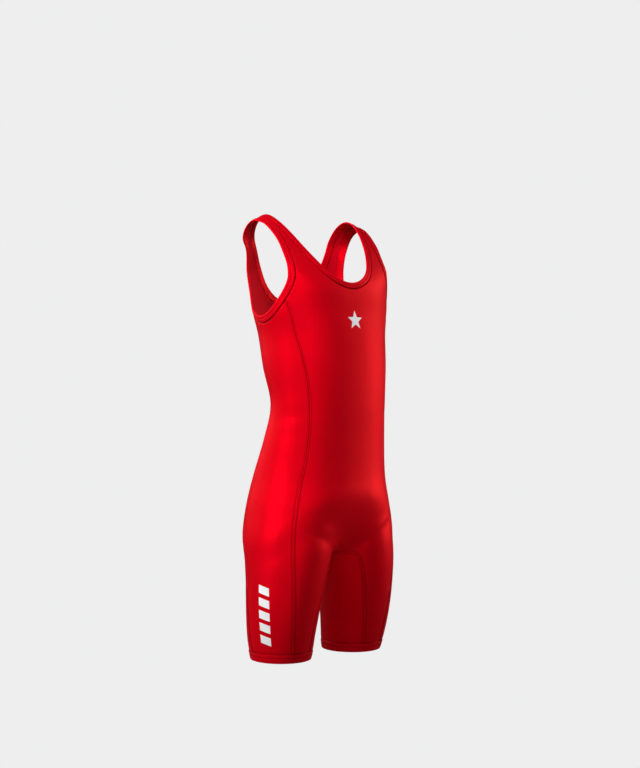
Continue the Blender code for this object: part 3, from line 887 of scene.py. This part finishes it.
for end in (back_strap_inner, back_strap_outer):
    pin(end, 0, 1, SHOULDER_SEAM_DEPTH)
pin(back_strap_inner, -1, 0, 0)
back_gusset_seam = gusset_seam(GUSSET_BACK)
back_seam = seam_from(back_strap_outer[-1], BACK_SEAM)
back_grid, on_middle = half_panel(back_strap_inner, back_strap_outer, back_gusset_seam, back_seam)
back, back_cut = whole_panel(
    "back",
    "back_panel",
    back_grid,
    on_middle,
    [back_gusset_seam, back_seam, shoulder_seam(back_strap_inner[0], back_strap_outer[0])],
    [neck_seam[: half + 1], arm_seam, leg_level],
)


# ---- Side panels -----------------------------------------------------------------------------------------
# Each side is one long shaped piece of the same knit, from under the arm to the leg hem. Its two curved
# seams draw the garment in at the waist.
SIDE_COLUMNS = 58
TOP_PULL_ROWS = 120
under_arm = arm_seam[front_top : back_top + 1]
side_grid = across_from(
    *(shared_stretches(seam, SEAM_ENDS, SEAM_STEPS) for seam in (front_seam, back_seam)), SIDE_COLUMNS
)
share = np.linalg.norm(side_grid[0] - side_grid[0, :1], axis=1)
share /= np.linalg.norm(side_grid[0, -1] - side_grid[0, 0])
along = lengths_along(under_arm)
top_row = np.stack([np.interp(share * along[-1], along, under_arm[:, k]) for k in range(3)], axis=1)
pull = np.clip(1 - np.arange(len(side_grid)) / TOP_PULL_ROWS, 0, 1) ** 1.5
side_grid += pull[:, None, None] * (top_row - side_grid[0])
side_grid = laid_on_form(side_grid, (None, 2))
side_points = side_grid.reshape(-1, 3)
side_quads = quads_of(*side_grid.shape[:2])
side_places = cloth_map(side_grid, np.zeros(len(side_grid)))
side_seams = [front_seam, back_seam], [under_arm, leg_level]
for word, turned in BOTH_SIDES:
    points = turned(side_points)
    piece = cloth_panel(
        f"side_{word}", f"side_panel_{word}", points, side_quads, side_places, *side_seams, (satin, knit_back)
    )


# ---- Crotch gusset ---------------------------------------------------------------------------------------
# One arched piece lines the inside of both legs and the crotch, so that no seams meet there.
GUSSET_COLUMNS = 44
gusset_inner = shared_out(front_gusset_seam, LEG_STEPS)
gusset_outer = shared_out(back_gusset_seam, LEG_STEPS)
gusset_grid = laid_on_form(across_from(gusset_inner, gusset_outer, GUSSET_COLUMNS), (0, 2))
gusset_grid[0] = on_form(gusset_grid[0] * [0, 1, 1], 0)
rows, columns = gusset_grid.shape[:2]
points, quads, places = mirrored_pair(
    gusset_grid.reshape(-1, 3),
    quads_of(rows, columns),
    cloth_map(gusset_grid, np.zeros(rows)),
    np.arange(columns),
)
gusset_seams = [front_gusset_seam, back_gusset_seam]
finishes = (satin, knit_back)
gusset = cloth_panel("gusset", "crotch_gusset", points, quads, places, gusset_seams, [leg_level], finishes)


# ---- Neck band -------------------------------------------------------------------------------------------
# A strip of the same knit, folded over the cut edge all round the neck and stitched down through its middle.
BAND_INSIDE = 0.5 * MM
BAND_OUTSIDE = 2.1 * MM
BAND_ROUNDING = 1.2 * MM
BAND_LAP = 0.35 * MM  # how far the band lies over the edge that it binds
BAND_ROW = 1.6 * MM  # spacing of a band's sections round the opening
NECK_STITCH = 5 * MM


def band_places(width, stitches):
    """Where a band's section has points, from its fold to its seam: finer at both and at its stitching."""
    fold = BAND_ROUNDING * (1 - np.cos(np.linspace(0, np.pi / 2, 5)))
    about = [s + d for s in stitches for d in np.array([-1.1, -0.6, -0.25, 0.25, 0.6, 1.1]) * MM]
    plain = np.arange(2 * MM, width - 1.5 * MM, 1.4 * MM)
    plain = [p for p in plain if all(abs(p - s) > 1.5 * MM for s in stitches)]
    ends = width + BAND_LAP - np.array([1.5, 1.0, 0.6, 0.25, 0]) * MM
    return np.sort(np.concatenate([fold, about, plain, ends]))


def band_top(at, width, stitches):
    """The height of a band's face: a low crown, sunk at its stitching, rolled under at its fold and seam."""
    crown = 0.35 * MM * np.sin(np.pi * np.clip(at / width, 0, 1))
    sunk = sum(0.5 * MM * line_at(at, s, 0.65 * MM) for s in stitches)
    middle = (BAND_OUTSIDE - BAND_INSIDE) / 2
    fold = np.sqrt(np.clip(1 - (1 - np.minimum(at / BAND_ROUNDING, 1)) ** 2, 0, 1))
    seam = 1.1 * MM * line_at(at, width + BAND_LAP, 0.8 * MM)
    return middle + (BAND_OUTSIDE - middle + crown - sunk) * fold - seam


def band_bottom(at):
    middle = (BAND_OUTSIDE - BAND_INSIDE) / 2
    fold = np.sqrt(np.clip(1 - (1 - np.minimum(at / BAND_ROUNDING, 1)) ** 2, 0, 1))
    return middle - (BAND_INSIDE + middle) * fold


def band_base(edge, seam, width, at):
    """Points on the form at some distances from a band's folded edge, for each place round the opening."""
    share = (at / width)[None, :, None]
    grid = edge[:, None] * (1 - share) + seam[:, None] * share
    return on_form(grid.reshape(-1, 3)).reshape(grid.shape)


def folded_band(name, cad_node, edge, seam, width, stitches):
    """A folded strip round an opening as one closed ring, its section a flat loop."""
    ring = lengths_along(np.concatenate([edge, edge[:1]]))
    steps = int(ring[-1] / BAND_ROW)
    at_rows = np.linspace(0, ring[-1], steps, endpoint=False)
    edge, seam = (
        np.stack([np.interp(at_rows, ring, np.append(c[:, k], c[0, k])) for k in range(3)], axis=1)
        for c in (edge, seam)
    )
    at = band_places(width, stitches)
    base = band_base(edge, seam, width, at)
    facing = normals(base.reshape(-1, 3)).reshape(base.shape)
    face = base + facing * band_top(at, width, stitches)[None, :, None]
    back = base + facing * band_bottom(at)[None, :, None]
    section = np.concatenate([face, back[:, :0:-1]], axis=1)
    columns = section.shape[1]
    i, j = (x.ravel() for x in np.meshgrid(np.arange(steps), np.arange(columns), indexing="ij"))
    below, right = (i + 1) % steps, (j + 1) % columns
    here, under = i * columns, below * columns
    faces = np.stack([here + j, under + j, under + right, here + right], axis=1)
    first = section.reshape(-1, 3)[faces[2]]
    if np.cross(first[1] - first[0], first[3] - first[0]) @ facing[0, 2] < 0:
        faces = faces[:, ::-1]
    along = np.broadcast_to(at_rows[:, None], (steps, columns))
    across = np.broadcast_to(np.concatenate([at, -at[:0:-1]])[None], (steps, columns))
    places = np.stack([across, along], axis=2).reshape(-1, 2)
    # Shade painted into the band's colour at its seam and along its stitching, where the grooves are.
    stitch_shade = [0.5 * line_at(at, s, 0.6 * MM) for s in stitches]
    shade = np.maximum.reduce([0.85 * line_at(at, width, 0.9 * MM), *stitch_shade])
    shade = np.broadcast_to(np.concatenate([shade, 0 * at[:0:-1]])[None], (steps, columns)).ravel()
    piece = mesh_piece(name, section.reshape(-1, 3), faces, places, (band_knit,), None, shade)
    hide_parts(cad_node)
    return piece


band_knit = knit_cloth("band knit", (0.76, 0.0006, 0.0095), 0.45, 0.30, 0.15, 0.03, 0.05 * MM)
folded_band("neck_edging", "neck_band", neck_edge, neck_seam, NECK_BAND_WIDTH, [NECK_STITCH])


# ---- Arm bands -------------------------------------------------------------------------------------------
# The arm holes are bound like the neck, with a slightly wider strip.
ARM_STITCH = 5 * MM
for word, turned in BOTH_SIDES:
    rings = turned(arm_edge), turned(arm_seam)
    folded_band(f"arm_edging_{word}", f"arm_band_{word}", *rings, ARM_BAND_WIDTH, [ARM_STITCH])


# ---- Leg bands -------------------------------------------------------------------------------------------
# The leg hems are turned strips that hold the cloth down on the thigh, with one line of stitching.
LEG_STITCH = 9.2 * MM
leg_ring = leg_level[:-1]
leg_edge = on_form(leg_ring - [0, 0, LEG_BAND_WIDTH], 2)
for word, turned in BOTH_SIDES:
    rings = turned(leg_edge), turned(leg_ring)
    folded_band(f"leg_edging_{word}", f"leg_band_{word}", *rings, LEG_BAND_WIDTH, [LEG_STITCH])


# ---- Seam stitching --------------------------------------------------------------------------------------
# The long seams at the sides and round the gusset are flat and cover-stitched with two lines of soft
# polyester thread. One line runs round each band. The threads sink into the cloth, so each stitch is a short
# swelling.
STITCH_PITCH = 2.9 * MM
STITCH_LENGTH = 2.3 * MM
THREAD_RADIUS = 0.19 * MM
STITCH_PROUD = 0.1 * MM  # of the sunk cloth, and of a band
BAND_STITCH_PROUD = 0.12 * MM
STITCH_SET_IN = 8  # points that a row stops short of the arm band
NOWHERE = 1  # a metre off, to leave the bands out where only the join counts
STATIONS = np.array([-1, -0.5, 0.5, 1])
SIDES = 5


def stitches_along(path, height, closed=False):
    """The points and faces of a row of stitches, which lie at a height over a path on the form."""
    if closed:
        path = np.concatenate([path, path[:1]])
    along = lengths_along(path)
    count = int(along[-1] / STITCH_PITCH)
    at = (np.arange(count) + 0.5) * along[-1] / count
    centre = np.stack([np.interp(at, along, path[:, k]) for k in range(3)], axis=1)
    ahead = np.stack([np.interp(at, along, v) for v in ahead_of(path, False).T], axis=1)
    facing = normals(centre)
    centre = centre + facing * (height - crease_depth(centre))[:, None]
    side = np.cross(ahead, facing)
    bow = THREAD_RADIUS * (1 - STATIONS**2) - 0.5 * THREAD_RADIUS
    girth = THREAD_RADIUS * (1 - 0.55 * STATIONS**4)
    turn = np.arange(SIDES) * 2 * np.pi / SIDES
    axis = (
        centre[:, None]
        + ahead[:, None] * (STATIONS * STITCH_LENGTH / 2)[None, :, None]
        + facing[:, None] * bow[None, :, None]
    )
    rings = axis[:, :, None] + girth[None, :, None, None] * (
        side[:, None, None] * np.cos(turn)[None, None, :, None]
        + facing[:, None, None] * np.sin(turn)[None, None, :, None]
    )
    size = len(STATIONS) * SIDES
    faces = []
    for s in range(len(STATIONS) - 1):
        for k in range(SIDES):
            a, b = s * SIDES + k, s * SIDES + (k + 1) % SIDES
            faces.append((b, a, a + SIDES, b + SIDES))
    start = np.arange(count)[:, None, None] * size
    quads = (np.array(faces)[None] + start).reshape(-1, 4)
    caps = np.array([np.arange(SIDES), np.arange(size - 1, size - SIDES - 1, -1)])
    caps = (caps[None] + start).reshape(-1, SIDES)
    return rings.reshape(-1, 3), [*quads, *caps]


def thread_piece(name, rows):
    """Several rows of stitches as one piece."""
    points, faces = [], []
    start = 0
    for vertices, found in rows:
        points.append(vertices)
        faces += [np.asarray(f) + start for f in found]
        start += len(vertices)
    piece = mesh_piece(name, np.concatenate(points), faces, None, (thread,))
    return piece


thread, tree, shader = new_material("seam thread", Roughness=0.65, Specular_IOR_Level=0)
place = node(tree, "TexCoord").outputs["Object"]
fibres = node(tree, "TexNoise", {"Vector": place, "Scale": 2600, "Detail": 2}).outputs["Fac"]
ramp = node(tree, "MapRange", {"Value": fibres, "To Min": 0.75, "To Max": 1.15}).outputs[0]
tint = node(tree, "VectorMath", {0: (0.34, 0.0008, 0.006), "Scale": ramp}, operation="SCALE").outputs[0]
tree.links.new(tint, shader.inputs["Base Color"])

LONG_SEAMS = {
    "front_seam": front_seam,
    "back_seam": back_seam,
    "front_gusset": front_gusset_seam,
    "back_gusset": back_gusset_seam,
}
for name, seam in LONG_SEAMS.items():
    rows = []
    for way in (JOIN_HALF_WIDTH, -JOIN_HALF_WIDTH):
        path = beside(seam, way, closed=False)[STITCH_SET_IN:]
        for _, turned in BOTH_SIDES:
            rise, _ = beside_seams(path, [seam], [seam + NOWHERE])
            rows.append(stitches_along(turned(path), CLOTH + rise.mean() + STITCH_PROUD))
    thread_piece(f"stitching_{name}", rows)

rows = []
for edge, seam, width, stitch, sides in (
    (neck_edge, neck_seam, NECK_BAND_WIDTH, NECK_STITCH, 1),
    (arm_edge, arm_seam, ARM_BAND_WIDTH, ARM_STITCH, 2),
    (leg_edge, leg_ring, LEG_BAND_WIDTH, LEG_STITCH, 2),
):
    path = band_base(edge, seam, width, np.array([stitch]))[:, 0]
    height = float(band_top(np.array([stitch]), width, [stitch])[0]) + BAND_STITCH_PROUD
    for _, turned in BOTH_SIDES[:sides]:
        rows.append(stitches_along(turned(path), height, closed=True))
thread_piece("stitching_bands", rows)


# ---- Seam allowances -------------------------------------------------------------------------------------
# Inside, the two edges of each long seam are pressed flat to both sides and held down by the cover stitching.
# They are narrow strips of the same cloth, seen through the openings.
ALLOWANCE_WIDTH = 10 * MM
ALLOWANCE_CLOTH = 0.6 * MM
ALLOWANCE_GAP = 0.03 * MM  # between the allowance and the back of the panels
ALLOWANCE_STEPS = 260
ALLOWANCE_COLUMNS = 9
ALLOWANCE_SET_IN = 2  # steps that it stops short of the seam's ends


def joined(parts):
    """Points and quads of several meshes as one."""
    starts = np.cumsum([0] + [len(points) for points, _ in parts])
    faces = [quads + start for (_, quads), start in zip(parts, starts[:-1], strict=True)]
    return np.concatenate([points for points, _ in parts]), np.concatenate(faces)


def allowance(name, curve):
    """The flattened allowance along the inside of a seam on both sides of the garment, as closed strips."""
    curve = shared_out(curve, ALLOWANCE_STEPS)[ALLOWANCE_SET_IN:-ALLOWANCE_SET_IN]
    places = np.linspace(-0.5, 0.5, ALLOWANCE_COLUMNS) * ALLOWANCE_WIDTH
    grid = np.stack([beside(curve, place, closed=False) for place in places], axis=1)
    rows, columns = grid.shape[:2]
    length = lengths_along(curve)[-1]
    shells = []
    for _, turned in BOTH_SIDES:
        flat = turned(grid.reshape(-1, 3))
        facing = normals(flat)
        quads = facing_out(flat, quads_of(rows, columns), facing)
        outer = flat - facing * (crease_depth(flat) + ALLOWANCE_GAP)[:, None]
        shells.append(closed_shell(outer, outer - facing * ALLOWANCE_CLOTH, quads))
    cloth = np.concatenate([cloth_map(grid, np.zeros(rows))] * 4)
    piece = mesh_piece(name, *joined(shells), cloth, (knit_back,))
    length = 2 * length / STRETCH_ALONG


for name, seam in LONG_SEAMS.items():
    allowance(f"allowance_{name}", seam)


# ---- Prints ----------------------------------------------------------------------------------------------
# Two plain white shapes, cut from thin film and pressed on hot: a five-pointed star on the chest and a
# column of slanted bars down the outside of the right thigh.
FILM = 0.14 * MM
FILM_LIFT = 0.03 * MM  # the glue under it
STAR_HEIGHT = -174 * MM
STAR_RADIUS = 16 * MM
STAR_INNER = 0.42
CHEST_DEPTH = -110 * MM  # from where the star is moved onto the form
BAR_COUNT = 5
BAR_WIDTH = 20 * MM
BAR_DEPTH = 13 * MM
BAR_PITCH = 20 * MM
BAR_SLANT = 5 * MM
BARS_BOTTOM = -694 * MM
THIGH_ACROSS = -78 * MM
THIGH_DEPTH = -18 * MM
THIGH_RADIUS = 60 * MM
BARS_TURN = math.radians(21)  # behind the thigh's widest line, towards the front


def film_shape(name, grids):
    """Patches of thin film on the cloth, each a grid of points on the form, as closed flat solids."""
    shells = []
    for grid in grids:
        flat = grid.reshape(-1, 3)
        facing = normals(flat)
        raised = flat + facing * (CLOTH - crease_depth(flat))[:, None]
        quads = facing_out(flat, quads_of(*grid.shape[:2]), facing)
        shells.append(closed_shell(raised + facing * (FILM_LIFT + FILM), raised + facing * FILM_LIFT, quads))
    piece = mesh_piece(name, *joined(shells), None, (film,))
    return piece


film, tree, shader = new_material("print film", Roughness=0.48)
place = node(tree, "TexCoord").outputs["Object"]
grain = node(tree, "TexNoise", {"Vector": place, "Scale": 900, "Detail": 3}).outputs["Fac"]
tint = node(tree, "MapRange", {"Value": grain, "To Min": 0.90, "To Max": 0.98}).outputs[0]
white = node(tree, "CombineColor", {0: tint, 1: tint, 2: tint}).outputs[0]
tree.links.new(white, shader.inputs["Base Color"])
bump = node(tree, "Bump", {"Height": grain, "Distance": 0.03 * MM})
tree.links.new(bump.outputs[0], shader.inputs["Normal"])

# The star is one grid of rings from its middle out to its ten corners.
turn = np.arange(11) * np.pi / 5
radius = np.where(np.arange(11) % 2 == 0, 1, STAR_INNER) * STAR_RADIUS
corner = np.stack([np.sin(turn) * radius, np.cos(turn) * radius], axis=1)
rings = np.linspace(0.02, 1, 12)
share = np.linspace(0, 1, 9)[:-1, None]
spokes = np.concatenate([a + (b - a) * share for a, b in zip(corner[:-1], corner[1:])])
spokes = np.concatenate([spokes, spokes[:1]])
flat = rings[:, None, None] * spokes[None]
star = np.stack([flat[..., 0], np.full(flat.shape[:2], CHEST_DEPTH), STAR_HEIGHT + flat[..., 1]], axis=2)
star = on_form(star.reshape(-1, 3)).reshape(star.shape)
film_shape("chest_star", [star])

bars = []
for number in range(BAR_COUNT):
    across, up = np.meshgrid(np.linspace(-0.5, 0.5, 17), np.linspace(0, 1, 11), indexing="ij")
    height = BARS_BOTTOM + number * BAR_PITCH + up * BAR_DEPTH + (across + 0.5) * BAR_SLANT
    turn = BARS_TURN - across * BAR_WIDTH / THIGH_RADIUS
    bar = [THIGH_ACROSS - THIGH_RADIUS * np.cos(turn), THIGH_DEPTH - THIGH_RADIUS * np.sin(turn), height]
    bar = np.stack(bar, axis=2)
    bars.append(on_form(bar.reshape(-1, 3), 2).reshape(bar.shape))
film_shape("thigh_bars", bars)
